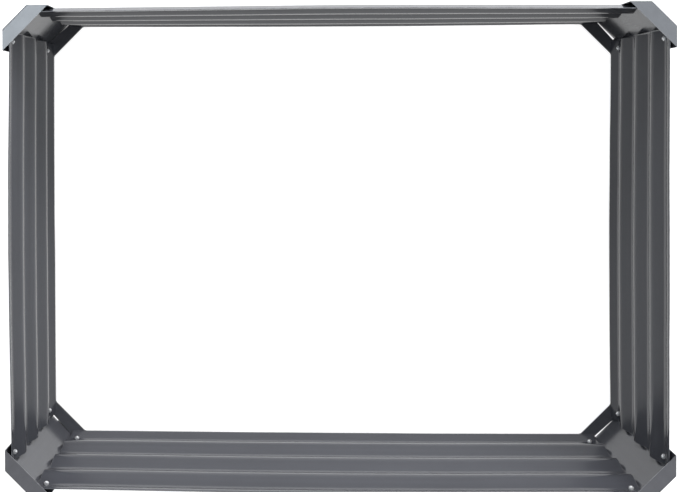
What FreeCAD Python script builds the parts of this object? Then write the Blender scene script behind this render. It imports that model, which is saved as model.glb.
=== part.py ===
import FreeCAD, Part
import math
import os
import re

import Sketcher

# A raised garden bed: four corrugated sheet walls bolted inside four folded corner posts, open above and
# below. The origin is the middle of the bed at the ground. +X runs along the bed, +Y to its back, +Z up.

SIZES = {
    # the bed over the outer faces of its posts
    "bed_length": 1200,
    "bed_width": 886,
    "bed_height": 300,
    # corner posts: a 45 degree corner face between two legs
    "post_sheet": 1.2,
    "corner_cut": 43,
    "leg_width": 39,
    "fold_radius": 1.5,
    # tapered slit beside the corner face in the lower flange
    "slit_start": 5,
    "slit_length": 48,
    "slit_wide": 3.4,
    "slit_narrow": 1.0,
    # wall panels: flat outer lands and rounded inner crests
    "panel_sheet": 0.8,
    "wave_pitch": 76,
    "wave_depth": 11.5,
    "wave_radius": 20.6,
    "land_width": 12,
    "lowest_land": 28,
    # clearances between the sheets
    "seat_gap": 0.1,
    "edge_gap": 0.3,
    "end_gap": 0.5,
    # bolts and nuts
    "hole_width": 5.5,
    "bolt_width": 5,
    "bolt_length": 8,
    "tip_chamfer": 0.6,
    "head_width": 11,
    "head_height": 2.6,
    "head_rim": 0.9,
    "recess_width": 1.3,
    "recess_span": 5.6,
    "recess_depth": 1.2,
    "nut_flats": 8,
    "nut_height": 4,
    "thread_gap": 0.15,
}

# Places that several pieces share.
INNER_FOLD = "(corner_cut + (post_sheet + fold_radius) * tan(22.5 deg))"
LEG_REACH = "(corner_cut + leg_width)"
PANEL_START = f"({INNER_FOLD} + end_gap)"
PANEL_SEAT = "(post_sheet + seat_gap)"
PANEL_FOOT = "(post_sheet + edge_gap)"
PANEL_TOP = "(bed_height - post_sheet - edge_gap)"
BOLT_INSET = "(corner_cut + leg_width / 2)"
ROW_RISE = "(floor((bed_height - 2 * lowest_land) / wave_pitch) * wave_pitch)"
# How far the outline of a trimming cut runs past the sheet.
CUT_ROOM = "(2 * wave_depth)"

document = FreeCAD.newDocument("RaisedGardenBed")
sheet = document.addObject("Spreadsheet::Sheet", "Sizes")
for row, (alias, value) in enumerate(SIZES.items(), start=1):
    sheet.set(f"A{row}", alias)
    sheet.set(f"B{row}", str(value))
    sheet.setAlias(f"B{row}", alias)
document.recompute()


def bind(target, path, formula):
    """Tie one property to a formula in which every snake_case word is a size of the sheet."""
    target.setExpression(path, re.sub(r"\b([a-z]+(?:_[a-z]+)+)\b", r"<<Sizes>>.\1", formula))


def origin_part(body, role):
    """The named plane or axis of a body's own origin."""
    return next(part for part in body.Origin.OriginFeatures if part.Role == role)


def new_body(label):
    body = document.addObject("PartDesign::Body", label)
    body.Label = label
    return body


def new_sketch(body, name, plane):
    sketch = body.newObject("Sketcher::SketchObject", name)
    sketch.AttachmentSupport = [(origin_part(body, plane), "")]
    sketch.MapMode = "FlatFace"
    return sketch


def dimension(sketch, kind, references, formula, start):
    """Add a driving dimension that starts at a value and follows a formula of the sheet."""
    index = sketch.addConstraint(Sketcher.Constraint(kind, *references, float(start)))
    bind(sketch, f"Constraints[{index}]", formula)


def fix_point(sketch, edge, end, across, up, start=(1, 1)):
    """Place one end (1 start, 2 end, 3 centre) of an edge at formulas measured from the sketch's origin."""
    dimension(sketch, "DistanceX", (-1, 1, edge, end), across, start[0])
    dimension(sketch, "DistanceY", (-1, 1, edge, end), up, start[1])


def polygon(sketch, corners):
    """Draw a closed outline of straight sides through corners given as pairs of formulas."""
    count = len(corners)
    ring = [FreeCAD.Vector(math.cos(2 * math.pi * i / count), math.sin(2 * math.pi * i / count), 0)
            for i in range(count)]
    first = sketch.GeometryCount
    for i in range(count):
        sketch.addGeometry(Part.LineSegment(ring[i], ring[(i + 1) % count]), False)
    for i, (across, up) in enumerate(corners):
        sketch.addConstraint(Sketcher.Constraint("Coincident", first + i, 2, first + (i + 1) % count, 1))
        fix_point(sketch, first + i, 1, across, up)


def circle(sketch, across, up, width):
    """Draw a circle of a given width about a centre given as formulas."""
    edge = sketch.addGeometry(Part.Circle(FreeCAD.Vector(1, 1, 0), FreeCAD.Vector(0, 0, 1), 1), False)
    fix_point(sketch, edge, 3, across, up)
    dimension(sketch, "Diameter", (edge,), width, 1)


def pad(body, sketch, length, name, symmetric=False):
    feature = body.newObject("PartDesign::Pad", name)
    feature.Profile = sketch
    feature.Midplane = symmetric
    bind(feature, "Length", length)
    return feature


def pocket(body, sketch, length, name, symmetric=False, reverse=False):
    """Cut a sketch out of the body, and check that the cut takes material away."""
    document.recompute()
    before = body.Shape.Volume
    feature = body.newObject("PartDesign::Pocket", name)
    feature.Profile = sketch
    feature.Midplane = symmetric
    feature.Reversed = reverse
    bind(feature, "Length", length)
    document.recompute()
    if not body.Shape.Volume < before:
        raise RuntimeError(f"{body.Label}: {name} cuts nothing")
    return feature


def rise_pattern(body, originals, length, occurrences, name):
    """Repeat features upwards along the body's Z axis."""
    pattern = body.newObject("PartDesign::LinearPattern", name)
    pattern.Originals = originals
    pattern.Direction = (origin_part(body, "Z_Axis"), [""])
    bind(pattern, "Length", length)
    bind(pattern, "Occurrences", occurrences)
    body.Tip = pattern
    return pattern


def place(body, turn, across, along, up="0"):
    """Turn a body about Z by degrees and put its origin at formulas."""
    body.Placement = FreeCAD.Placement(FreeCAD.Vector(), FreeCAD.Rotation(FreeCAD.Vector(0, 0, 1), turn))
    bind(body, "Placement.Base.x", across)
    bind(body, "Placement.Base.y", along)
    bind(body, "Placement.Base.z", up)


def folded_section(sketch):
    """Outline of the folded sheet: leg, 45 degree corner face, leg, with rounded folds."""
    level = SIZES["fold_radius"] + SIZES["post_sheet"]
    centre = SIZES["corner_cut"] + level * math.tan(math.radians(22.5))
    reach = SIZES["corner_cut"] + SIZES["leg_width"]
    up = FreeCAD.Vector(0, 0, 1)
    skins = []
    for radius, formula in ((level, "fold_radius + post_sheet"), (SIZES["fold_radius"], "fold_radius")):
        offset = level - radius
        slant = radius * math.sin(math.radians(45))
        low_turn = FreeCAD.Vector(centre - slant, level - slant, 0)
        high_turn = FreeCAD.Vector(level - slant, centre - slant, 0)
        low_circle = Part.Circle(FreeCAD.Vector(centre, level, 0), up, radius)
        high_circle = Part.Circle(FreeCAD.Vector(level, centre, 0), up, radius)
        parts = (
            Part.LineSegment(FreeCAD.Vector(reach, offset, 0), FreeCAD.Vector(centre, offset, 0)),
            Part.ArcOfCircle(low_circle, math.radians(225), math.radians(270)),
            Part.LineSegment(low_turn, high_turn),
            Part.ArcOfCircle(high_circle, math.radians(180), math.radians(225)),
            Part.LineSegment(FreeCAD.Vector(offset, centre, 0), FreeCAD.Vector(offset, reach, 0)),
        )
        leg_a, fold_a, face, fold_b, leg_b = [sketch.addGeometry(part, False) for part in parts]
        for joint in (
            (leg_a, 2, fold_a, 2), (fold_a, 1, face, 1),
            (face, 2, fold_b, 2), (fold_b, 1, leg_b, 1),
        ):
            sketch.addConstraint(Sketcher.Constraint("Tangent", *joint))
        sketch.addConstraint(Sketcher.Constraint("Horizontal", leg_a))
        sketch.addConstraint(Sketcher.Constraint("Vertical", leg_b))
        sketch.addConstraint(Sketcher.Constraint("Equal", fold_a, fold_b))
        dimension(sketch, "Radius", (fold_a,), formula, radius)
        fix_point(sketch, fold_a, 3, INNER_FOLD, "fold_radius + post_sheet", (centre, level))
        fix_point(sketch, fold_b, 3, "fold_radius + post_sheet", INNER_FOLD, (level, centre))
        dimension(sketch, "DistanceX", (-1, 1, leg_a, 1), LEG_REACH, reach)
        dimension(sketch, "DistanceY", (-1, 1, leg_b, 2), LEG_REACH, reach)
        skins.append((leg_a, leg_b))
    close_ends(sketch, skins)


def close_ends(sketch, skins):
    """Join the free ends of two parallel skins, each given as its first and last edge."""
    (first_a, last_a), (first_b, last_b) = skins
    for edge_a, edge_b, end in ((first_a, first_b, 1), (last_a, last_b, 2)):
        line = Part.LineSegment(FreeCAD.Vector(0, 0, 0), FreeCAD.Vector(1, 1, 0))
        closing = sketch.addGeometry(line, False)
        sketch.addConstraint(Sketcher.Constraint("Coincident", closing, 1, edge_a, end))
        sketch.addConstraint(Sketcher.Constraint("Coincident", closing, 2, edge_b, end))


def corner_post(label, turn, across, along):
    """A folded sheet post: standing section, a level flange at its head and its foot, slit and bolt holes."""
    body = new_body(label)
    section = new_sketch(body, "FoldedSection", "XY_Plane")
    folded_section(section)
    pad(body, section, "bed_height", "Standing")
    # The flanges reach into the middle of the sheet, so the folds keep their round outline.
    middle = "post_sheet / 2"
    near = f"corner_cut + {middle} * tan(22.5 deg)"
    far = f"{LEG_REACH} - {middle}"
    for name, level in (("Foot", "0"), ("Head", "bed_height - post_sheet")):
        outline = new_sketch(body, f"{name}Outline", "XY_Plane")
        polygon(outline, ((near, middle), (far, middle), (middle, far), (middle, near)))
        bind(outline, "AttachmentOffset.Base.z", level)
        pad(body, outline, "post_sheet", f"{name}Flange")

    # The slit lies along the inner side of the corner face and narrows towards the +X leg.
    slit = new_sketch(body, "SlitOutline", "XY_Plane")
    face_line = "(corner_cut + post_sheet * sqrt(2))"
    wide_end = "slit_start / sqrt(2)"
    narrow_end = "(slit_start + slit_length) / sqrt(2)"
    polygon(slit, (
        (wide_end, f"{face_line} - {wide_end}"),
        (narrow_end, f"{face_line} - {narrow_end}"),
        (f"{narrow_end} + slit_narrow / sqrt(2)", f"{face_line} - {narrow_end} + slit_narrow / sqrt(2)"),
        (f"{wide_end} + slit_wide / sqrt(2)", f"{face_line} - {wide_end} + slit_wide / sqrt(2)"),
    ))
    pocket(body, slit, "post_sheet", "Slit", reverse=True)

    for name, plane, reverse in (("HolesA", "XZ_Plane", False), ("HolesB", "YZ_Plane", True)):
        holes = new_sketch(body, f"{name}Centres", plane)
        circle(holes, BOLT_INSET, "lowest_land", "hole_width")
        circle(holes, BOLT_INSET, f"lowest_land + {ROW_RISE}", "hole_width")
        pocket(body, holes, "fold_radius + post_sheet", name, reverse=reverse)
    place(body, turn, across, along)
    return body


def wave_section(sketch):
    """Outline of one wave of the sheet, from the middle of one outer land up to the middle of the next."""
    thick = SIZES["panel_sheet"]
    bend = SIZES["wave_radius"]
    depth = SIZES["wave_depth"]
    pitch = SIZES["wave_pitch"]
    half_land = SIZES["land_width"] / 2
    trough = bend + thick
    crest = depth - bend - thick
    lean = math.asin((2 * bend + thick) / math.hypot(trough - crest, pitch / 2 - half_land))
    lean -= math.atan2(trough - crest, pitch / 2 - half_land)
    up = FreeCAD.Vector(0, 0, 1)
    skins = []
    for offset, trough_radius, crest_radius, trough_formula, crest_formula in (
        ("0", trough, bend, "wave_radius + panel_sheet", "wave_radius"),
        ("panel_sheet", bend, trough, "wave_radius", "wave_radius + panel_sheet"),
    ):
        side = trough - trough_radius
        low_centre = FreeCAD.Vector(trough, half_land, 0)
        top_centre = FreeCAD.Vector(trough, pitch - half_land, 0)
        crest_centre = FreeCAD.Vector(crest, pitch / 2, 0)
        step = FreeCAD.Vector(-trough_radius * math.cos(lean), trough_radius * math.sin(lean), 0)
        rise = FreeCAD.Vector(crest_radius * math.cos(lean), crest_radius * math.sin(lean), 0)
        drop = FreeCAD.Vector(rise.x, -rise.y, 0)
        parts = (
            Part.LineSegment(FreeCAD.Vector(side, 0, 0), FreeCAD.Vector(side, half_land, 0)),
            Part.ArcOfCircle(Part.Circle(low_centre, up, trough_radius), math.pi - lean, math.pi),
            Part.LineSegment(low_centre + step, crest_centre + drop),
            Part.ArcOfCircle(Part.Circle(crest_centre, up, crest_radius), -lean, lean),
            Part.LineSegment(crest_centre + rise, top_centre + FreeCAD.Vector(step.x, -step.y, 0)),
            Part.ArcOfCircle(Part.Circle(top_centre, up, trough_radius), math.pi, math.pi + lean),
            Part.LineSegment(FreeCAD.Vector(side, pitch - half_land, 0), FreeCAD.Vector(side, pitch, 0)),
        )
        land_a, bend_a, flank_a, nose, flank_b, bend_b, land_b = [sketch.addGeometry(p, False) for p in parts]
        for joint in (
            (land_a, 2, bend_a, 2), (bend_a, 1, flank_a, 1), (flank_a, 2, nose, 1),
            (nose, 2, flank_b, 1), (flank_b, 2, bend_b, 2), (bend_b, 1, land_b, 1),
        ):
            sketch.addConstraint(Sketcher.Constraint("Tangent", *joint))
        fix_point(sketch, land_a, 1, offset, "0", (side, 0))
        fix_point(sketch, land_b, 2, offset, "wave_pitch", (side, pitch))
        for land in (land_a, land_b):
            sketch.addConstraint(Sketcher.Constraint("Vertical", land))
        dimension(sketch, "DistanceY", (-1, 1, land_a, 2), "land_width / 2", half_land)
        dimension(sketch, "DistanceY", (-1, 1, land_b, 1), "wave_pitch - land_width / 2", pitch - half_land)
        dimension(sketch, "Radius", (bend_a,), trough_formula, trough_radius)
        dimension(sketch, "Radius", (bend_b,), trough_formula, trough_radius)
        dimension(sketch, "Radius", (nose,), crest_formula, crest_radius)
        centre_across = "wave_depth - wave_radius - panel_sheet"
        fix_point(sketch, nose, 3, centre_across, "wave_pitch / 2", (crest, pitch / 2))
        skins.append((land_a, land_b))
    close_ends(sketch, skins)


def wall_panel(label, span, turn, across, along):
    """A corrugated sheet wall: waves repeated upwards, trimmed to height, with two bolt holes at each end."""
    body = new_body(label)
    wave = new_sketch(body, "WaveSection", "YZ_Plane")
    wave_section(wave)
    bind(wave, "AttachmentOffset.Base.y", "lowest_land - wave_pitch")
    length = f"({span} - 2 * {PANEL_START})"
    one_wave = pad(body, wave, length, "OneWave", symmetric=True)
    document.recompute()
    waves = "ceil((bed_height - lowest_land) / wave_pitch) + 1"
    rise_pattern(body, [one_wave], f"({waves} - 1) * wave_pitch", waves, "Waves")

    trim = new_sketch(body, "TrimOutline", "YZ_Plane")
    for low, high in ((f"lowest_land - wave_pitch - {CUT_ROOM}", PANEL_FOOT),
                      (PANEL_TOP, f"bed_height + wave_pitch + {CUT_ROOM}")):
        polygon(trim, (
            (f"-{CUT_ROOM}", low),
            (CUT_ROOM, low),
            (CUT_ROOM, high),
            (f"-{CUT_ROOM}", high),
        ))
    pocket(body, trim, f"{length} + {CUT_ROOM}", "Trim", symmetric=True)

    holes = new_sketch(body, "HoleCentres", "XZ_Plane")
    for end in (f"{span} / 2 - {BOLT_INSET}", f"-({span} / 2 - {BOLT_INSET})"):
        circle(holes, end, "lowest_land", "hole_width")
        circle(holes, end, f"lowest_land + {ROW_RISE}", "hole_width")
    pocket(body, holes, "wave_depth", "Holes")
    place(body, turn, across, along)
    return body


def bolt_profile(sketch):
    """Half of a bolt's lengthwise section about the Y axis, from the crown of its dome to its tip."""
    radius = SIZES["head_width"] / 2
    drop = SIZES["head_height"] - SIZES["head_rim"]
    dome_radius = (radius ** 2 + drop ** 2) / (2 * drop)
    centre = FreeCAD.Vector(0, dome_radius - SIZES["head_height"], 0)
    spread = math.asin(radius / dome_radius)
    dome_circle = Part.Circle(centre, FreeCAD.Vector(0, 0, 1), dome_radius)
    dome = sketch.addGeometry(Part.ArcOfCircle(dome_circle, -math.pi / 2, -math.pi / 2 + spread), False)
    sketch.addConstraint(Sketcher.Constraint("PointOnObject", dome, 3, -2))
    fix_point(sketch, dome, 1, "0", "-head_height", (0, -SIZES["head_height"]))
    fix_point(sketch, dome, 2, "head_width / 2", "-head_rim", (radius, -SIZES["head_rim"]))
    chain = (
        ("head_width / 2", "0"),
        ("bolt_width / 2", "0"),
        ("bolt_width / 2", "bolt_length - tip_chamfer"),
        ("bolt_width / 2 - tip_chamfer", "bolt_length"),
        ("0", "bolt_length"),
    )
    last, end = dome, 2
    for step, (across, up) in enumerate(chain, start=1):
        line = Part.LineSegment(FreeCAD.Vector(1, step, 0), FreeCAD.Vector(1, step + 1, 0))
        side = sketch.addGeometry(line, False)
        sketch.addConstraint(Sketcher.Constraint("Coincident", last, end, side, 1))
        fix_point(sketch, side, 2, across, up, (1, step + 1))
        last, end = side, 2
    axis = sketch.addGeometry(Part.LineSegment(FreeCAD.Vector(0, 9, 0), FreeCAD.Vector(0, -2, 0)), False)
    sketch.addConstraint(Sketcher.Constraint("Coincident", last, end, axis, 1))
    sketch.addConstraint(Sketcher.Constraint("Coincident", axis, 2, dome, 1))


def bolts(label, turn, across, along):
    """The two bolts of one panel end: domed heads with a cross recess outside, tips inside."""
    body = new_body(label)
    profile = new_sketch(body, "Profile", "XY_Plane")
    bolt_profile(profile)
    turned = body.newObject("PartDesign::Revolution", "Turned")
    turned.Profile = profile
    turned.ReferenceAxis = (origin_part(body, "Y_Axis"), [""])
    turned.Angle = 360
    document.recompute()
    cuts = []
    for name, half_across, half_up in (("RecessFlat", "recess_span / 2", "recess_width / 2"),
                                       ("RecessTall", "recess_width / 2", "recess_span / 2")):
        slot = new_sketch(body, f"{name}Outline", "XZ_Plane")
        polygon(slot, (
            (f"-{half_across}", f"-{half_up}"),
            (half_across, f"-{half_up}"),
            (half_across, half_up),
            (f"-{half_across}", half_up),
        ))
        bind(slot, "AttachmentOffset.Base.z", "head_height")
        cuts.append(pocket(body, slot, "recess_depth", name))
    rise_pattern(body, [turned, *cuts], ROW_RISE, "2", "Rows")
    place(body, turn, across, along, "lowest_land")
    return body


def nuts(label, turn, across, along):
    """The two hexagon nuts of one panel end, seated on the inner side of the sheet."""
    body = new_body(label)
    outline = new_sketch(body, "Outline", "XZ_Plane")
    corner = "nut_flats / sqrt(3)"
    polygon(outline, (
        (corner, "0"),
        (f"{corner} / 2", "nut_flats / 2"),
        (f"-{corner} / 2", "nut_flats / 2"),
        (f"-{corner}", "0"),
        (f"-{corner} / 2", "-nut_flats / 2"),
        (f"{corner} / 2", "-nut_flats / 2"),
    ))
    circle(outline, "0", "0", "bolt_width + 2 * thread_gap")
    bind(outline, "AttachmentOffset.Base.z", f"-({PANEL_SEAT} + panel_sheet + seat_gap + nut_height)")
    block = pad(body, outline, "nut_height", "Block")
    document.recompute()
    rise_pattern(body, [block], ROW_RISE, "2", "Rows")
    place(body, turn, across, along, "lowest_land")
    return body


HALF_LENGTH = "bed_length / 2"
HALF_WIDTH = "bed_width / 2"

# Each post: its name, its turn and its sharp outer corner.
CORNERS = (
    ("front_left", 0, f"-{HALF_LENGTH}", f"-{HALF_WIDTH}"),
    ("front_right", 90, HALF_LENGTH, f"-{HALF_WIDTH}"),
    ("back_right", 180, HALF_LENGTH, HALF_WIDTH),
    ("back_left", 270, f"-{HALF_LENGTH}", HALF_WIDTH),
)

# Each wall: its name, its span, its turn, the way it faces and its two ends in the order that it runs.
WALLS = (
    ("front", "bed_length", 0, (0, -1), ("left", "right")),
    ("right", "bed_width", 90, (1, 0), ("front", "back")),
    ("back", "bed_length", 180, (0, 1), ("right", "left")),
    ("left", "bed_width", 270, (-1, 0), ("back", "front")),
)

pieces = [corner_post(f"corner_post_{name}", turn, across, along) for name, turn, across, along in CORNERS]
for wall, span, turn, (facing_x, facing_y), ends in WALLS:
    face = (f"{facing_x} * {HALF_LENGTH}", f"{facing_y} * {HALF_WIDTH}")
    seat = (f"{face[0]} - {facing_x} * {PANEL_SEAT}", f"{face[1]} - {facing_y} * {PANEL_SEAT}")
    pieces.append(wall_panel(f"wall_panel_{wall}", span, turn, *seat))
    for end, way in zip(ends, (-1, 1)):
        reach = f"{way} * ({span} / 2 - {BOLT_INSET})"
        spot = (f"{face[0]} - {facing_y} * {reach}", f"{face[1]} + {facing_x} * {reach}")
        pieces.append(bolts(f"bolts_{wall}_panel_{end}", turn, *spot))
        pieces.append(nuts(f"nuts_{wall}_panel_{end}", turn, *spot))

document.recompute()

for item in document.Objects:
    if "Invalid" in item.State or "Error" in item.State:
        raise RuntimeError(f"{item.Name} failed: {item.State}")
for piece in pieces:
    if piece.Shape.isNull() or not piece.Shape.isValid():
        raise RuntimeError(f"{piece.Label} has no valid shape")

os.makedirs("parts", exist_ok=True)
for piece in pieces:
    piece.Shape.exportStep(os.path.join("parts", f"{piece.Label}.step"))
    print(f"{piece.Label}: {len(piece.Shape.Solids)} solid(s), {piece.Shape.Volume:.1f} mm3")
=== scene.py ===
import bpy
import numpy as np
from mathutils import Euler, Matrix, Vector


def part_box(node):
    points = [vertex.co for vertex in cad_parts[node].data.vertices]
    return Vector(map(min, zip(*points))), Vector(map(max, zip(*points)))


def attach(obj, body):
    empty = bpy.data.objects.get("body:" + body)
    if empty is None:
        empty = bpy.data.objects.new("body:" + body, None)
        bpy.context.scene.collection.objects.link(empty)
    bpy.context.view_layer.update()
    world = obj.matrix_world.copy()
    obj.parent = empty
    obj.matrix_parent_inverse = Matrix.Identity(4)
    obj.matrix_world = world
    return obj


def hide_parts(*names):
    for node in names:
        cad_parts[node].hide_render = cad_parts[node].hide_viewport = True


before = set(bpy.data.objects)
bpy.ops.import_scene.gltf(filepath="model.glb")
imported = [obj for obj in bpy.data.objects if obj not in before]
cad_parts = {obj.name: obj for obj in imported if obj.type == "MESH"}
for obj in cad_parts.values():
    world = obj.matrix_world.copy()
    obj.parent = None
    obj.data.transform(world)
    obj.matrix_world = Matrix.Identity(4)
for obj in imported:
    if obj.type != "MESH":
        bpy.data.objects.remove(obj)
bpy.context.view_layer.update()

# Corner posts: four upright pieces of 1.2 mm steel sheet, folded into a 45 degree corner face
# between two legs, with a level flange turned inwards at the head and another at the foot. A
# tapered slit runs along the fold of the foot flange. They are powder coated dark slate grey.
MM = 0.001
POST_SHEET = 1.2 * MM
CORNER_CUT = 43 * MM
LEG_END = 82 * MM
FOLD_RADIUS = 2.7 * MM
HALF_FOLD = np.radians(22.5)
FOLD_START = CORNER_CUT + FOLD_RADIUS * np.tan(HALF_FOLD)
HEAD_BEND = 2.2 * MM
FLANGE_SEAM = 0.12 * MM
FLANGE_END_GAP = 0.3 * MM
FOOT_LIFT = 0.02 * MM
SLIT_ENDS = (-26.6 * MM, 21.4 * MM)
SLIT_WIDTHS = (3.4 * MM, 1.0 * MM)
SLIT_STEP = 0.02 * MM
POST_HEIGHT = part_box("corner_post_front_left")[1].z
BED_REACH = (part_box("corner_post_front_right")[1].x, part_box("corner_post_back_right")[1].y)
DIAGONAL = np.sqrt(0.5)
TINY = 1e-9
# Rows and columns of faces lie close together beside cut edges and folds, and wider elsewhere.
LEG_BANDS = (0.6 * MM, 3 * MM)
LEG_STEPS, FOLD_STEPS, FACE_STEPS = 9, 8, 14
POST_LEVELS = np.concatenate([[0, 0.002], np.linspace(0.02, 0.98, 22), [0.998, 1]])
FLANGE_SHARES = np.concatenate([0.08 * np.linspace(0, 1, 9) ** 2, np.linspace(0.12, 0.97, 12),
                                [0.99, 1]])
FOLD_COLUMNS, HEAD_COLUMNS = 12, 26
FOOT_COLUMNS = (14, 20, 16)


def turned(points, quarters, origin):
    """Points turned about Z by whole quarter turns, then moved to an origin on the ground."""
    cos, sin = ((1, 0), (0, 1), (-1, 0), (0, -1))[quarters % 4]
    x, y, z = points[..., 0], points[..., 1], points[..., 2]
    return np.stack([origin[0] + cos * x - sin * y, origin[1] + sin * x + cos * y, z], -1)


def closed_sheet(outer, inner):
    """A solid sheet between two grids of points: both grids as faces, and a strip round their rim.

    The wear of a point is one on the rim and nought elsewhere."""
    rows, columns = outer.shape[:2]
    here = np.arange(rows * columns).reshape(rows, columns)
    there = here + rows * columns
    front = np.stack([here[:-1, :-1], here[:-1, 1:], here[1:, 1:], here[1:, :-1]], -1)
    back = np.stack([there[:-1, :-1], there[1:, :-1], there[1:, 1:], there[:-1, 1:]], -1)
    edge = np.concatenate([here[0, :-1], here[:-1, -1], here[-1, :0:-1], here[:0:-1, 0]])
    after = np.roll(edge, -1)
    strip = np.stack([after, edge, edge + rows * columns, after + rows * columns], -1)
    wear = np.zeros((rows, columns))
    wear[[0, -1], :] = 1
    wear[:, [0, -1]] = 1
    points = np.concatenate([outer.reshape(-1, 3), inner.reshape(-1, 3)])
    faces = np.concatenate([front.reshape(-1, 4), back.reshape(-1, 4), strip])
    return points, faces, np.tile(wear.ravel(), 2)


def new_piece(name, solids, material, replaced, smooth_angle=35):
    """One piece from closed solids, each given as points, faces and wear.

    A solid whose volume, summed over its faces, comes out negative has its faces turned round."""
    points, faces, wear, count = [], [], [], 0
    for some_points, some_faces, some_wear in solids:
        a, b, c, d = (some_points[some_faces[:, corner]] for corner in range(4))
        volume = np.einsum("ij,ij->i", a, np.cross(b, c) + np.cross(c, d)).sum()
        points.append(some_points)
        faces.append((some_faces if volume > 0 else some_faces[:, ::-1]) + count)
        wear.append(some_wear)
        count += len(some_points)
    mesh = bpy.data.meshes.new(name)
    mesh.from_pydata(np.concatenate(points), [], np.concatenate(faces).tolist())
    mesh.attributes.new("wear", "FLOAT", "POINT").data.foreach_set("value", np.concatenate(wear))
    mesh.materials.append(material)
    mesh.shade_smooth()
    mesh.set_sharp_from_angle(angle=np.radians(smooth_angle))
    piece = bpy.data.objects.new(name, mesh)
    bpy.context.scene.collection.objects.link(piece)
    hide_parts(replaced)
    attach(piece, "root")
    return piece


def folded_path(offset):
    """Outline of the folded sheet at an offset inside its outer skin, leg end to leg end.

    Straight leg, arc of an eighth turn, straight corner face, and the same again mirrored."""
    radius = FOLD_RADIUS - offset
    leg = np.concatenate([[LEG_END, LEG_END - LEG_BANDS[0]],
                          np.linspace(LEG_END - LEG_BANDS[1], FOLD_START, LEG_STEPS)])
    low_leg = np.stack([leg, np.full(leg.size, offset)], -1)
    bend = np.radians(np.linspace(270, 225, FOLD_STEPS)[1:])
    low_fold = np.stack([FOLD_START + radius * np.cos(bend),
                         FOLD_RADIUS + radius * np.sin(bend)], -1)
    half = np.concatenate([low_leg, low_fold])
    mirrored = half[::-1, ::-1]
    share = np.linspace(0, 1, FACE_STEPS)[1:-1, None]
    return np.concatenate([half, half[-1] + share * (mirrored[0] - half[-1]), mirrored])


def standing_sheet():
    """The upright folded sheet: its outline carried from the ground up to the head flange.

    It ends under the flange on the legs, and lower, where the flange's bend begins, on the corner
    face. The outline's slope, which is one on that face, tells where it is."""
    outer, inner = folded_path(0), folded_path(POST_SHEET)
    slope = np.abs(np.gradient(outer[:, 0]) / (np.abs(np.gradient(outer[:, 1])) + TINY))
    on_face = np.clip(1 - np.abs(np.log(slope + TINY)) / 2, 0, 1)
    under_flange = POST_HEIGHT - POST_SHEET - FLANGE_SEAM
    top = under_flange + on_face * (POST_HEIGHT - HEAD_BEND - under_flange)
    grids = []
    for path in (outer, inner):
        grid = np.empty((POST_LEVELS.size, len(path), 3))
        grid[..., :2] = path
        grid[..., 2] = POST_LEVELS[:, None] * top
        grids.append(grid)
    return closed_sheet(*grids)


def flange(head):
    """A level flange, in coordinates along and across the corner face.

    It reaches from the fold to a straight inner edge. The head flange rolls down into the corner
    face on an arc; the foot flange is flat and starts further in where the slit is open."""
    face = CORNER_CUT * DIAGONAL
    inner_edge = LEG_END * DIAGONAL
    fold_along = (FOLD_START - FOLD_RADIUS) * DIAGONAL
    if head:
        reach = inner_edge - FLANGE_END_GAP
        half = np.concatenate([np.linspace(0, fold_along, FOLD_COLUMNS),
                               np.linspace(fold_along, reach, HEAD_COLUMNS)[1:]])
        along = np.concatenate([-half[:0:-1], half])
        turn = np.clip(np.abs(along) - fold_along, 0, FOLD_RADIUS * DIAGONAL)
        start = face + FOLD_RADIUS - np.sqrt(FOLD_RADIUS ** 2 - turn ** 2)
        start = np.maximum(start, np.abs(along))
    else:
        reach = inner_edge - POST_SHEET * DIAGONAL - FLANGE_END_GAP
        low, high = SLIT_ENDS
        inside = np.linspace(low, high, FOOT_COLUMNS[1])
        inside += SLIT_STEP * np.linspace(1, -1, FOOT_COLUMNS[1])
        along = np.concatenate([np.linspace(-reach, low, FOOT_COLUMNS[0]), inside,
                                np.linspace(high, reach, FOOT_COLUMNS[2])])
        start = np.maximum(face + POST_SHEET / 2, np.abs(along) + POST_SHEET * DIAGONAL)
        width = np.interp(along, SLIT_ENDS, SLIT_WIDTHS)
        start = np.where((along > low) & (along < high), face + POST_SHEET + width, start)
    grids = []
    for depth in (0, POST_SHEET):
        first = np.maximum(start, face + depth) if head else start
        across = first + FLANGE_SHARES[:, None] * (inner_edge - first)
        if head:
            short = np.clip(face + HEAD_BEND - across, 0, HEAD_BEND - depth)
            level = POST_HEIGHT - HEAD_BEND + np.sqrt((HEAD_BEND - depth) ** 2 - short ** 2)
        else:
            level = np.full(across.shape, depth + FOOT_LIFT)
        x, y = (across + along) * DIAGONAL, (across - along) * DIAGONAL
        grids.append(np.stack([x, y, level], -1))
    return closed_sheet(*grids)


def combined(tree, operation, first, second=0.0):
    """Two values combined by one operation; each is a number or what another node gives."""
    made = tree.nodes.new("ShaderNodeMath")
    made.operation = operation
    for value, socket in zip((first, second), made.inputs):
        if isinstance(value, bpy.types.NodeSocket):
            tree.links.new(value, socket)
        else:
            socket.default_value = value
    return made.outputs["Value"]


def spread(tree, value, source, target):
    """A value taken evenly from one span to another, and held at the ends."""
    made = tree.nodes.new("ShaderNodeMapRange")
    for name, limit in zip(("From Min", "From Max", "To Min", "To Max"), (*source, *target)):
        made.inputs[name].default_value = limit
    tree.links.new(value, made.inputs["Value"])
    return made.outputs["Result"]


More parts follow.
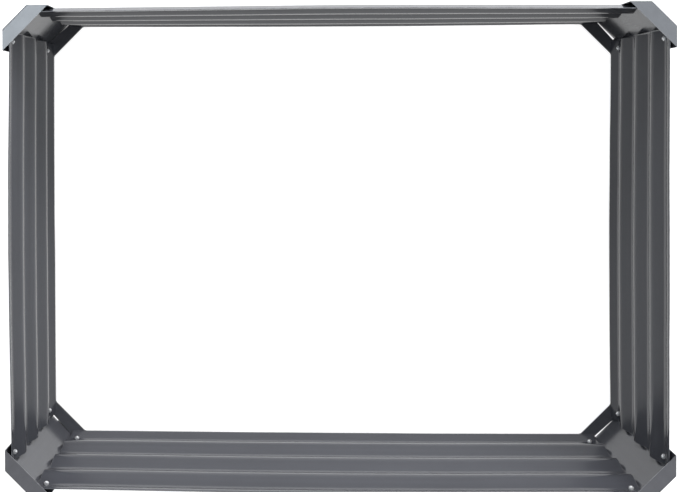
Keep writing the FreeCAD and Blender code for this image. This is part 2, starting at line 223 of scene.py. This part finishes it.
def noise(tree, scale, detail, stretch=(1, 1, 1)):
    """Cloudy noise fixed to the object, its scale in waves per metre, stretched along an axis."""
    mapping = tree.nodes.new("ShaderNodeMapping")
    mapping.inputs["Scale"].default_value = stretch
    made = tree.nodes.new("ShaderNodeTexNoise")
    made.inputs["Scale"].default_value = scale
    made.inputs["Detail"].default_value = detail
    place = tree.nodes.new("ShaderNodeTexCoord").outputs["Object"]
    tree.links.new(place, mapping.inputs["Vector"])
    tree.links.new(mapping.outputs["Vector"], made.inputs["Vector"])
    return made.outputs["Fac"]


# Each noise has a scale and a detail, and beside them the span of what it changes.
NOISE_SPAN = (0.3, 0.7)
MOTTLE, MOTTLE_SHADE = (5, 3), (0.94, 1.06)
STREAKS, STREAK_SHADE = (2, 4), (0.93, 1.07)
SPECKLE, SPECKLE_SHADE = (900, 2), (0.95, 1.05)
CLOUDY_GLOSS, ROUGH_SPREAD = (30, 3), 0.03
WORN_PATCHES, WORN_SHARE = (60, 4), (0, 0.5)
WORN_EDGE = (0.42, 0.43, 0.45, 1)
ORANGE_PEEL, PEEL_STRENGTH, PEEL_DEPTH = (700, 2), 0.15, 0.05 * MM
# Distance from a crest, as a share of the pitch, and the greatest roughness over it.
CREST_BAND, CREST_ROUGHNESS = (0.05, 0.2), (0.05, 0.3)
WAVED_SPECULAR = 0.3


def rubbed(tree, finish, crest, pitch):
    """Smoother paint on the round crests, whose heights follow from one crest and the pitch.

    The roughness is the lesser of the finish and a band that is lowest at each crest."""
    split = tree.nodes.new("ShaderNodeSeparateXYZ")
    tree.links.new(tree.nodes.new("ShaderNodeTexCoord").outputs["Object"], split.inputs["Vector"])
    above = combined(tree, "SUBTRACT", split.outputs["Z"], crest - pitch / 2)
    within = combined(tree, "FRACT", combined(tree, "DIVIDE", above, pitch))
    away = combined(tree, "ABSOLUTE", combined(tree, "SUBTRACT", within, 0.5))
    return combined(tree, "MINIMUM", finish, spread(tree, away, CREST_BAND, CREST_ROUGHNESS))


def painted_steel(name, colour, streak, rough, waves=None):
    """Satin powder coat: mottled colour, orange peel, streaks along the sheet, paler worn edges."""
    material = bpy.data.materials.new(name)
    material.use_nodes = True
    tree = material.node_tree
    shader = tree.nodes["Principled BSDF"]
    mottle = spread(tree, noise(tree, *MOTTLE), NOISE_SPAN, MOTTLE_SHADE)
    streaks = spread(tree, noise(tree, *STREAKS, streak), NOISE_SPAN, STREAK_SHADE)
    speckle = spread(tree, noise(tree, *SPECKLE), NOISE_SPAN, SPECKLE_SHADE)
    shade = combined(tree, "MULTIPLY", combined(tree, "MULTIPLY", mottle, streaks), speckle)
    tint = tree.nodes.new("ShaderNodeMix")
    tint.data_type = "RGBA"
    tint.blend_type = "MULTIPLY"
    tint.inputs["Factor"].default_value = 1
    tint.inputs["A"].default_value = (*colour, 1)
    tree.links.new(shade, tint.inputs["B"])
    cut_edges = tree.nodes.new("ShaderNodeAttribute")
    cut_edges.attribute_name = "wear"
    patches = spread(tree, noise(tree, *WORN_PATCHES), NOISE_SPAN, WORN_SHARE)
    edge = tree.nodes.new("ShaderNodeMix")
    edge.data_type = "RGBA"
    edge.inputs["B"].default_value = WORN_EDGE
    worn = combined(tree, "MULTIPLY", cut_edges.outputs["Fac"], patches)
    tree.links.new(worn, edge.inputs["Factor"])
    tree.links.new(tint.outputs["Result"], edge.inputs["A"])
    tree.links.new(edge.outputs["Result"], shader.inputs["Base Color"])
    rough_span = (rough - ROUGH_SPREAD, rough + ROUGH_SPREAD)
    finish = spread(tree, noise(tree, *CLOUDY_GLOSS), NOISE_SPAN, rough_span)
    if waves:
        finish = rubbed(tree, finish, *waves)
        shader.inputs["Specular IOR Level"].default_value = WAVED_SPECULAR
    tree.links.new(finish, shader.inputs["Roughness"])
    peel = tree.nodes.new("ShaderNodeBump")
    peel.inputs["Strength"].default_value = PEEL_STRENGTH
    peel.inputs["Distance"].default_value = PEEL_DEPTH
    tree.links.new(noise(tree, *ORANGE_PEEL), peel.inputs["Height"])
    tree.links.new(peel.outputs["Normal"], shader.inputs["Normal"])
    return material


post_paint = painted_steel("slate_post_paint", (0.078, 0.080, 0.090), (30, 30, 1), 0.18)
post_solids = [standing_sheet(), flange(head=True), flange(head=False)]
CORNERS = (("front_left", -1, -1), ("front_right", 1, -1),
           ("back_right", 1, 1), ("back_left", -1, 1))
for quarters, (corner, side_x, side_y) in enumerate(CORNERS):
    spot = (side_x * BED_REACH[0], side_y * BED_REACH[1])
    placed = [(turned(points, quarters, spot), faces, wear) for points, faces, wear in post_solids]
    new_piece(f"post_{corner}", placed, post_paint, f"corner_post_{corner}")

# Wall panels: 0.8 mm steel sheet rolled into lengthwise waves, with flat lands outside and round
# crests inside, each cut from painted coil and standing between the flanges of two posts. Unfilled
# and held only at their ends, the sheets bow slightly outwards at mid length.
PANEL_SHEET = 0.8 * MM
WAVE_PITCH = 76 * MM
WAVE_DEPTH = 10.7 * MM
CREST_RADIUS = 27 * MM
HOLLOW_RADIUS = 7 * MM
HALF_LAND = 3 * MM
LOWEST_LAND = 28 * MM
SEAT_GAP = 0.1 * MM
SEAT = POST_SHEET + SEAT_GAP
PANEL_START = 47 * MM
FLANGE_ROOM = 1.5 * MM
PANEL_RISE = (FLANGE_ROOM, POST_HEIGHT - FLANGE_ROOM)
RIM_BANDS = (0.5 * MM, 1.5 * MM)
END_BANDS = (0.6 * MM, 3 * MM)
PANEL_ROWS, PANEL_COLUMNS = 190, 72
BOW_POWER = 1.5
UNEVEN, UNEVEN_WAVES, UNEVEN_POWER = 0.28 * MM, 6, 0.7
DRIFT, DRIFT_RATE = 1.5, 9


def wave(height):
    """How far the middle of the sheet stands in from its outer land.

    Flat land, tight arc, straight flank and round crest, each tangent to the next. The flank's
    lean is what joins the two arcs over half a pitch and the wave's depth."""
    away = np.abs((height - LOWEST_LAND + WAVE_PITCH / 2) % WAVE_PITCH - WAVE_PITCH / 2)
    both = HOLLOW_RADIUS + CREST_RADIUS
    rise = both - WAVE_DEPTH
    run = WAVE_PITCH / 2 - HALF_LAND
    lean = np.arcsin(both / np.hypot(rise, run)) - np.arctan2(rise, run)
    hollow, crest = HOLLOW_RADIUS * np.sin(lean), CREST_RADIUS * np.sin(lean)
    low = np.clip(away - HALF_LAND, 0, hollow)
    flank = np.clip(away - HALF_LAND - hollow, 0, run - hollow - crest) * np.tan(lean)
    high = np.clip(WAVE_PITCH / 2 - away, 0, crest)
    drop = HOLLOW_RADIUS - np.sqrt(HOLLOW_RADIUS ** 2 - low ** 2)
    crown = np.sqrt(CREST_RADIUS ** 2 - high ** 2) - np.sqrt(CREST_RADIUS ** 2 - crest ** 2)
    return drop + flank + crown


def banded(low, high, bands, steps):
    """Places from low to high: two narrow bands at each end and equal steps between them."""
    middle = np.linspace(low + bands[1], high - bands[1], steps)
    return np.concatenate([[low, low + bands[0]], middle, [high - bands[0], high]])


def panel_solid(half, bulge, lean_out, seed):
    """The waved sheet: the wave carried along the wall, with half a sheet's thickness to each side.

    It bows outwards by a power of a parabola along the wall, more at the rim than at the foot,
    and a few slow sine waves, which die away at the ends, make it a little uneven."""
    height = banded(*PANEL_RISE, RIM_BANDS, PANEL_ROWS)
    along = banded(-half, half, END_BANDS, PANEL_COLUMNS)
    middle = wave(height)
    slope = np.gradient(middle, height)
    lean = np.stack([np.ones(slope.size), -slope], -1) / np.hypot(1, slope)[:, None]
    share = np.clip(1 - (along / half) ** 2, 0, 1)
    draw = np.random.default_rng(seed)
    waviness = np.zeros((height.size, along.size))
    for count in range(1, UNEVEN_WAVES + 1):
        phase, tilt = draw.uniform(0, 2 * np.pi, 2)
        drift = DRIFT * np.sin(DRIFT_RATE * height[:, None] + tilt)
        waviness += np.sin(count * np.pi * along / half + phase + drift) / count
    uneven = UNEVEN * waviness * share ** UNEVEN_POWER
    level = (height[:, None] - POST_HEIGHT / 2) / (POST_HEIGHT / 2)
    shift = -(bulge + lean_out * level) * share ** BOW_POWER + uneven
    grids = []
    for offset in (-PANEL_SHEET / 2, PANEL_SHEET / 2):
        grid = np.empty((height.size, along.size, 3))
        grid[..., 0] = along
        grid[..., 1] = (SEAT + PANEL_SHEET / 2 + middle + offset * lean[:, 0])[:, None] + shift
        grid[..., 2] = (height + offset * lean[:, 1])[:, None]
        grids.append(grid)
    return closed_sheet(*grids)


WAVES = (LOWEST_LAND + WAVE_PITCH / 2, WAVE_PITCH)
# One paint in two copies for the walls: the side walls' copy is darker, which is painted shade.
long_paint = painted_steel("slate_long_panel_paint", (0.064, 0.066, 0.076), (0.4, 30, 30),
                           0.2, WAVES)
side_paint_painted_shade = painted_steel("slate_side_panel_paint_painted_shade", (0.057, 0.059, 0.068), (30, 0.4, 30),
                           0.2, WAVES)
# Wall, middle of its outer side, half its span, post at each end, paint, bow at half height, and
# how much more it bows at the rim.
WALLS = (
    ("front", (0, -BED_REACH[1]), BED_REACH[0], ("left", "right"), long_paint, 2.6 * MM, 1.2 * MM),
    ("right", (BED_REACH[0], 0), BED_REACH[1], ("front", "back"), side_paint_painted_shade, -1.4 * MM, 1.5 * MM),
    ("back", (0, BED_REACH[1]), BED_REACH[0], ("right", "left"), long_paint, 0.7 * MM, 2.5 * MM),
    ("left", (-BED_REACH[0], 0), BED_REACH[1], ("back", "front"), side_paint_painted_shade, 2.0 * MM, 1.6 * MM),
)
for quarters, (wall, wall_middle, half_span, _, paint, bulge, lean_out) in enumerate(WALLS):
    points, faces, wear = panel_solid(half_span - PANEL_START, bulge, lean_out, quarters + 1)
    placed = [(turned(points, quarters, wall_middle), faces, wear)]
    new_piece(f"panel_{wall}", placed, paint, f"wall_panel_{wall}")

# Bolts: M5 with a domed head and a cross recess outside the leg, zinc plated, two to each panel
# end. The thread shows inside the bed beyond the nut.
BOLT_INSET = 62.5 * MM
BOLT_LEVELS = (LOWEST_LAND, LOWEST_LAND + 3 * WAVE_PITCH)
BOLT_RADIUS = 2.5 * MM
BOLT_LENGTH = 8 * MM
HEAD_RADIUS = 5.5 * MM
HEAD_HEIGHT = 2.55 * MM
HEAD_RIM = 0.9 * MM
RIM_EDGE = 0.1 * MM
RECESS_HALF_WIDTH = 0.65 * MM
RECESS_REACH = 2.8 * MM
RECESS_DEPTH = 1.2 * MM
RECESS_BLEND = 0.1 * MM
SHANK_END = 5.6 * MM
THREAD_START = 5.7 * MM
THREAD_PITCH = 0.8 * MM
THREAD_DEPTH = 0.42 * MM
THREAD_RINGS = 25
TIP_RADIUS = BOLT_RADIUS - 0.7 * MM
TIP_TAPER = 1.2
BOLT_SIDES = 96
DOME_RADII = np.concatenate([[0.05 * MM], np.linspace(0.2 * MM, 3.2 * MM, 30),
                             np.linspace(3.5 * MM, HEAD_RADIUS, 9)])


def ring_solid(rings, looped):
    """A solid from rings of points: quads between neighbours, and last to first where looped.

    Where it isn't looped, rows of quads across the first and the last ring close it."""
    count, size = rings.shape[:2]
    row = np.arange(count if looped else count - 1)[:, None]
    column = np.arange(size)[None, :]
    after_row, after_column = (row + 1) % count, (column + 1) % size
    faces = np.stack([row * size + column, row * size + after_column,
                      after_row * size + after_column, after_row * size + column], -1)
    faces = faces.reshape(-1, 4)
    points = rings.reshape(-1, 3)
    if not looped:
        near = np.arange(size // 2 - 1)
        far = size - 1 - near
        for first, flip in ((0, 1), ((count - 1) * size, -1)):
            cap = np.stack([near, far, far - 1, near + 1], -1)[:, ::flip]
            faces = np.concatenate([faces, cap + first])
    return points, faces, np.zeros(len(points))


def bolt_rings():
    """Rings about the Y axis: a dome with a cross sunk in it, the rim, the shank and the thread.

    The dome is part of a sphere. The thread's radius falls by a cosine of the turn and the reach,
    which makes a helix, and a cone cuts it at the tip."""
    angle = np.linspace(0, 2 * np.pi, BOLT_SIDES, endpoint=False)
    radius = DOME_RADII[:, None]
    drop = HEAD_HEIGHT - HEAD_RIM
    dome = (HEAD_RADIUS ** 2 + drop ** 2) / (2 * drop)
    x, z = radius * np.cos(angle), radius * np.sin(angle)
    short, long = np.minimum(np.abs(x), np.abs(z)), np.maximum(np.abs(x), np.abs(z))
    sunk = np.clip((RECESS_HALF_WIDTH - short) / RECESS_BLEND + 0.5, 0, 1)
    sunk = sunk * np.clip((RECESS_REACH - long) / RECESS_BLEND + 0.5, 0, 1)
    crown = -HEAD_HEIGHT + dome - np.sqrt(dome ** 2 - radius ** 2)
    head = np.stack([x, np.minimum(crown + RECESS_DEPTH * sunk, 0), z], -1)
    width = np.array([HEAD_RADIUS, HEAD_RADIUS - RIM_EDGE, BOLT_RADIUS, BOLT_RADIUS])[:, None]
    reach = np.array([-RIM_EDGE, 0, 0, SHANK_END])[:, None]
    shank = np.stack([width * np.cos(angle), reach + 0 * angle, width * np.sin(angle)], -1)
    reach = np.linspace(THREAD_START, BOLT_LENGTH, THREAD_RINGS)[:, None]
    groove = 0.5 - 0.5 * np.cos(2 * np.pi * reach / THREAD_PITCH - angle)
    cone = TIP_RADIUS + TIP_TAPER * (BOLT_LENGTH - reach)
    width = np.minimum(BOLT_RADIUS - THREAD_DEPTH * groove, cone)
    thread = np.stack([width * np.cos(angle), reach + 0 * angle, width * np.sin(angle)], -1)
    return np.concatenate([head, shank, thread])


CLOUDS = (240, 4)
SCRATCHES, SCRATCH_SPREAD = (1600, 2), (-0.08, 0.12)
CLOUD_SHADE = 0.82
ZINC_METAL = 0.6


def zinc(name, colour, rough):
    """Bright zinc plate: a metal with a faint cloudy tint and fine scratches in its roughness."""
    material = bpy.data.materials.new(name)
    material.use_nodes = True
    tree = material.node_tree
    shader = tree.nodes["Principled BSDF"]
    shader.inputs["Metallic"].default_value = ZINC_METAL
    ramp = tree.nodes.new("ShaderNodeValToRGB")
    for element, position, shade in zip(ramp.color_ramp.elements, NOISE_SPAN, (CLOUD_SHADE, 1)):
        element.position = position
        element.color = (*(shade * np.array(colour)), 1)
    tree.links.new(noise(tree, *CLOUDS), ramp.inputs["Fac"])
    tree.links.new(ramp.outputs["Color"], shader.inputs["Base Color"])
    rough_span = [rough + change for change in SCRATCH_SPREAD]
    finish = spread(tree, noise(tree, *SCRATCHES), (0, 1), rough_span)
    tree.links.new(finish, shader.inputs["Roughness"])
    return material


def fasteners(pair, node, rings, looped, material):
    """Two copies of a fastener at each end of each wall, low and high, as one piece per end."""
    for quarters, (wall, wall_middle, half_span, ends, *_) in enumerate(WALLS):
        for end, way in zip(ends, (-1, 1)):
            solids = []
            for level in BOLT_LEVELS:
                there = rings + np.array([way * (half_span - BOLT_INSET), 0, level])
                solids.append(ring_solid(turned(there, quarters, wall_middle), looped))
            place = f"{wall}_panel_{end}"
            new_piece(f"{pair}_{place}", solids, material, f"{node}_{place}")


bolt_zinc = zinc("bright_zinc_bolts", (0.90, 0.91, 0.92), 0.3)
fasteners("bolt_pair", "bolts", bolt_rings(), False, bolt_zinc)

# Nuts: zinc plated M5 hexagon nuts, 8 mm across flats, with chamfered corners, seated on the outer
# lands of the panel inside the bed.
NUT_FLATS = 8 * MM
NUT_HEIGHT = 4 * MM
NUT_SEAT = SEAT + PANEL_SHEET + SEAT_GAP
NUT_BORE = 2.65 * MM
COUNTERSINK = 0.35 * MM
CHAMFER_CIRCLE = 0.47 * NUT_FLATS
CHAMFER_ANGLE = np.radians(30)
NUT_SIDES = 72


def nut_rings():
    """Section of the nut at each angle: bore, countersink, chamfer, hexagon side and underside.

    The side stands at the flats' distance over the cosine of the angle from the flat's middle."""
    angle = np.linspace(0, 2 * np.pi, NUT_SIDES, endpoint=False)
    side = NUT_FLATS / 2 / np.cos((angle % (np.pi / 3)) - np.pi / 6)
    flat = np.full(angle.size, CHAMFER_CIRCLE)
    bore = np.full(angle.size, NUT_BORE)
    lead = np.full(angle.size, COUNTERSINK)
    chamfer = (side - flat) * np.tan(CHAMFER_ANGLE)
    widths = [bore, bore + lead, flat, side, side, flat, bore + lead, bore]
    depths = [lead, 0 * lead, 0 * lead, chamfer]
    depths += [NUT_HEIGHT - depth for depth in depths[::-1]]
    return np.array([np.stack([width * np.cos(angle), NUT_SEAT + depth, width * np.sin(angle)], -1)
                     for width, depth in zip(widths, depths)])


nut_zinc = zinc("bright_zinc_nuts", (0.93, 0.94, 0.95), 0.28)
fasteners("nut_pair", "nuts", nut_rings(), True, nut_zinc)

# The bed stands on a plain white studio floor. A thin dark line of painted shadow, darkening the
# floor's glow and colour, lies where the sheets meet it. The painted shadow is left out under the
# slits of both right posts, and of the front left post only at the wide end of the slit, so the
# floor shows white there.
FLOOR_HALF = 7
FLOOR_DROP = 0.2 * MM
FLOOR_GLOW = 0.92
# Floor colour in its painted shadow and in the open.
PAPER_SHADED_AND_LIT = ((0.01, 0.01, 0.01, 1), (0.45, 0.45, 0.45, 1))
SHADOW_LINE = 3.2 * MM
SHADOW_SPAN = (0.55, 0.95)
SHADOW_DEPTH = 0.02
# A place is under a post where its x and y, both taken as positive, add up to more than the zone.
# The lit end of the front left slit is where x less y lies near its middle value.
CORNER_ZONE = 0.985
LEFT_SLIT_MIDDLE = -0.21
LEFT_SLIT_HALF = 0.036
floor_mesh = bpy.data.meshes.new("studio_floor")
floor_corners = ((-FLOOR_HALF, -FLOOR_HALF), (FLOOR_HALF, -FLOOR_HALF),
                 (FLOOR_HALF, FLOOR_HALF), (-FLOOR_HALF, FLOOR_HALF))
floor_mesh.from_pydata([(x, y, -FLOOR_DROP) for x, y in floor_corners], [], [(0, 1, 2, 3)])
floor = bpy.data.objects.new("studio_floor", floor_mesh)
bpy.context.scene.collection.objects.link(floor)


def seen_rays(tree):
    """One for a ray from the camera or off a shine or glass, and nought for light that fills in."""
    path = tree.nodes.new("ShaderNodeLightPath")
    shine = combined(tree, "MAXIMUM", path.outputs["Is Camera Ray"], path.outputs["Is Glossy Ray"])
    return combined(tree, "MAXIMUM", shine, path.outputs["Is Transmission Ray"])


def distance_along(tree, vector, direction):
    """How far a place lies along a direction: their scalar product."""
    made = tree.nodes.new("ShaderNodeVectorMath")
    made.operation = "DOT_PRODUCT"
    made.inputs[1].default_value = direction
    tree.links.new(vector, made.inputs[0])
    return made.outputs["Value"]


def slits_without_painted_shadow(tree):
    """One at the corners of the bed where the painted contact shadow is left out, so the white
    floor shows through a slit.
    """
    spot = tree.nodes.new("ShaderNodeTexCoord").outputs["Object"]
    mirrored = tree.nodes.new("ShaderNodeVectorMath")
    mirrored.operation = "ABSOLUTE"
    tree.links.new(spot, mirrored.inputs[0])
    outward = distance_along(tree, mirrored.outputs["Vector"], (1, 1, 0))
    rightward = distance_along(tree, spot, (1, -1, 0))
    left_end = combined(tree, "COMPARE", rightward, LEFT_SLIT_MIDDLE)
    left_end.node.inputs[2].default_value = LEFT_SLIT_HALF
    lit_ends = combined(tree, "MAXIMUM", combined(tree, "GREATER_THAN", rightward, 0.0), left_end)
    in_corner = combined(tree, "GREATER_THAN", outward, CORNER_ZONE)
    return combined(tree, "MULTIPLY", in_corner, lit_ends)


floor_paint = bpy.data.materials.new("studio_white")
floor_paint.use_nodes = True
floor_mesh.materials.append(floor_paint)
tree = floor_paint.node_tree
shader = tree.nodes["Principled BSDF"]
shader.inputs["Roughness"].default_value = 0.9
shader.inputs["Specular IOR Level"].default_value = 0
glow = combined(tree, "MULTIPLY", seen_rays(tree), FLOOR_GLOW)
tree.links.new(glow, shader.inputs["Emission Strength"])
nearness = tree.nodes.new("ShaderNodeAmbientOcclusion")
nearness.inputs["Distance"].default_value = SHADOW_LINE
# Painted contact shadow: the floor's glow and colour darken close to the sheets.
painted_contact_shadow = spread(tree, nearness.outputs["AO"], SHADOW_SPAN, (SHADOW_DEPTH, 1))
painted_floor_shade = combined(tree, "MAXIMUM", painted_contact_shadow, slits_without_painted_shadow(tree))
tree.links.new(painted_floor_shade, shader.inputs["Emission Color"])
paper_with_painted_shadow = tree.nodes.new("ShaderNodeMix")
paper_with_painted_shadow.data_type = "RGBA"
paper_with_painted_shadow.inputs["A"].default_value, paper_with_painted_shadow.inputs["B"].default_value = PAPER_SHADED_AND_LIT
tree.links.new(painted_floor_shade, paper_with_painted_shadow.inputs["Factor"])
tree.links.new(paper_with_painted_shadow.outputs["Result"], shader.inputs["Base Color"])

# Pale surround that fills in from all sides, and that looks white near the horizon.
SURROUND_FILL = 0.17
HORIZON_WHITE = 0.83
HORIZON_RISE = (0.3, 0.55)
world = bpy.data.worlds.new("pale_surround")
bpy.context.scene.world = world
world.use_nodes = True
tree = world.node_tree
background = tree.nodes["Background"]
background.inputs["Color"].default_value = (1, 1, 1, 1)
rise = distance_along(tree, tree.nodes.new("ShaderNodeTexCoord").outputs["Generated"], (0, 0, 1))
horizon = spread(tree, rise, HORIZON_RISE, (HORIZON_WHITE, 0))
shown = combined(tree, "MULTIPLY", seen_rays(tree), horizon)
tree.links.new(combined(tree, "ADD", shown, SURROUND_FILL), background.inputs["Strength"])

# Soft lamps hang high over the ends and the front of the bed, a long one stands behind it, and low
# strips on the floor light its outer sides. Each has its place, size in metres, watts and colour.
LAMPS = (
    ("soft_lamp_left", (-1.3, 0.65, 2.6), (0.8, 0.8), 20, (0.84, 0.93, 1.0)),
    ("soft_lamp_right", (1.75, 0.6, 2.5), (2.2, 1.3), 35, (0.88, 0.95, 1.0)),
    ("soft_lamp_front", (0, -1.4, 2.6), (3.8, 0.9), 13, (1.0, 0.98, 1.0)),
    ("long_lamp_behind", (0.9, 3.0, 1.7), (4.4, 1.4), 180, (1.0, 0.99, 1.0)),
    ("low_strip_front", (0, -3.0, 0.16), (4.0, 0.26), 18, (1.0, 1.0, 1.0)),
    ("low_strip_left", (-2.8, 0, 0.16), (3.0, 0.26), 10, (1.0, 1.0, 1.0)),
    ("low_strip_right", (2.8, 0, 0.16), (3.0, 0.26), 10, (1.0, 1.0, 1.0)),
)
LIT_SPOT = Vector((0, 0, 0.1))
for name, place, size, power, colour in LAMPS:
    lamp_data = bpy.data.lights.new(name, "AREA")
    lamp_data.shape = "RECTANGLE"
    lamp_data.size, lamp_data.size_y = size
    lamp_data.energy = power
    lamp_data.color = colour
    lamp = bpy.data.objects.new(name, lamp_data)
    bpy.context.scene.collection.objects.link(lamp)
    facing = (LIT_SPOT - Vector(place)).to_track_quat("-Z", "Y").to_matrix().to_4x4()
    lamp.matrix_world = Matrix.Translation(place) @ facing

# The camera hangs over the bed and looks straight down, with its frame shifted off its axis as in
# the photograph, which is a crop.
CAMERA_PLACE = (-0.069924, 0.244937, 1.866503)
CAMERA_TILT = (0.010795, -0.026518, 0.002585)
camera_data = bpy.data.cameras.new("overhead_camera")
camera_data.sensor_width = 36
camera_data.lens = 46.525
camera_data.shift_x = 0.09642
camera_data.shift_y = -0.17996
camera = bpy.data.objects.new("overhead_camera", camera_data)
bpy.context.scene.collection.objects.link(camera)
tilt = Euler(CAMERA_TILT).to_matrix().transposed().to_4x4()
camera.matrix_world = Matrix.Translation(CAMERA_PLACE) @ tilt
bpy.context.scene.camera = camera
bpy.context.scene.view_settings.view_transform = "Standard"
